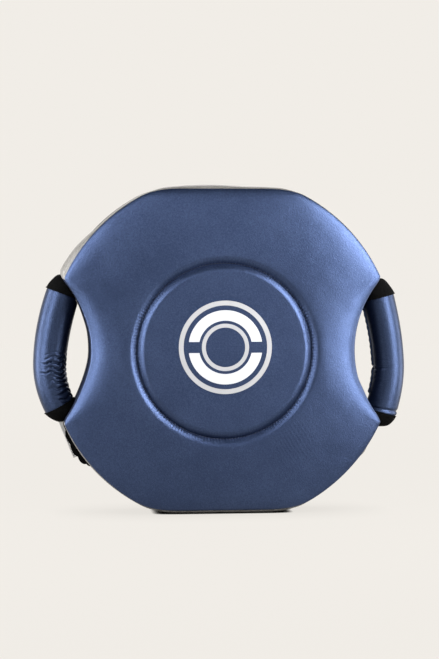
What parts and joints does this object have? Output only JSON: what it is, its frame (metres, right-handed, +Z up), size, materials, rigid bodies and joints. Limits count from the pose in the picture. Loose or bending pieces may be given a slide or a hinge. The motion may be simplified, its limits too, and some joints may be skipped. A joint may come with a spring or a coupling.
{
  "type": "punching shield",
  "caption": "Round padded punching shield with flat top and bottom edges, a stitched centre disc, bowed padded side handles, and a forearm strap and hand grip on its back.",
  "frame": {"origin": "middle of the flat on the lower edge that the shield stands on, on the floor, below the middle of the pad", "axes": "+X to the right seen from the front, -Y out of the struck face, +Y out of the back with the straps, +Z up"},
  "size_m": [0.532, 0.1637, 0.4606],
  "materials": {
    "blue_cover": "metallic pearl blue synthetic leather with a fine grain, satin",
    "silver_cover": "silver-grey synthetic leather with a fine grain, satin",
    "black_cover": "black synthetic leather with a pebble grain, semi-matte",
    "black_wrap": "matte black brushed fabric",
    "webbing": "black woven nylon webbing",
    "hook_and_loop": "black hook-and-loop tape, matte and fibrous",
    "soft_foam": "cream open-cell foam, matte",
    "firm_foam": "dark grey closed-cell foam, matte",
    "backing_board": "stiff black foamed board",
    "nickel": "nickel-plated eyelet, softly polished",
    "print_grey": "light grey screen print on the cover, satin",
    "print_white": "white screen print on the cover, satin",
    "thread": "dark blue bonded sewing thread"
  },
  "bodies": {
    "shield": {"front_ring_panel": "blue_cover", "centre_disc_panel": "blue_cover", "ring_foam": "soft_foam", "disc_foam": "soft_foam", "shock_core": "firm_foam", "backing_board": "backing_board", "back_panel": "black_cover", "back_piping": "black_cover", "gusset_upper": "silver_cover", "gusset_lower": "silver_cover", "gusset_left": "blue_cover", "gusset_right": "blue_cover", "handle_left_sleeve": "blue_cover", "handle_left_core": "soft_foam", "handle_left_webbing": "webbing", "handle_left_cuff_top": "black_wrap", "handle_left_cuff_bottom": "black_wrap", "handle_right_sleeve": "blue_cover", "handle_right_core": "soft_foam", "handle_right_webbing": "webbing", "handle_right_cuff_top": "black_wrap", "handle_right_cuff_bottom": "black_wrap", "arm_strap_anchor": "silver_cover", "strap_landing": "black_wrap", "hook_tape": "hook_and_loop", "hand_grip_webbing": "webbing", "hand_grip_sleeve": "black_wrap", "hand_grip_patch_left": "black_cover", "hand_grip_patch_right": "black_cover", "eyelet_upper_left": "nickel", "eyelet_upper_right": "nickel", "eyelet_lower_left": "nickel", "eyelet_lower_right": "nickel"},
    "arm_strap": {"arm_strap_band": "silver_cover", "arm_strap_pad": "black_wrap"},
    "strap_tail": {"arm_strap_tail": "silver_cover", "arm_strap_lining": "hook_and_loop"}
  },
  "joints": [
    {"name": "arm_strap_swing", "type": "hinge", "parent": "shield", "child": "arm_strap", "pos_m": [0.08437, 0.05155, 0.22363], "axis": [0.3746, 0, -0.9272], "range_deg": [0, 100]},
    {"name": "strap_tail_peel", "type": "hinge", "parent": "arm_strap", "child": "strap_tail", "pos_m": [-0.08437, 0.05735, 0.15545], "axis": [0.3746, 0, -0.9272], "range_deg": [0, 110]}
  ]
}
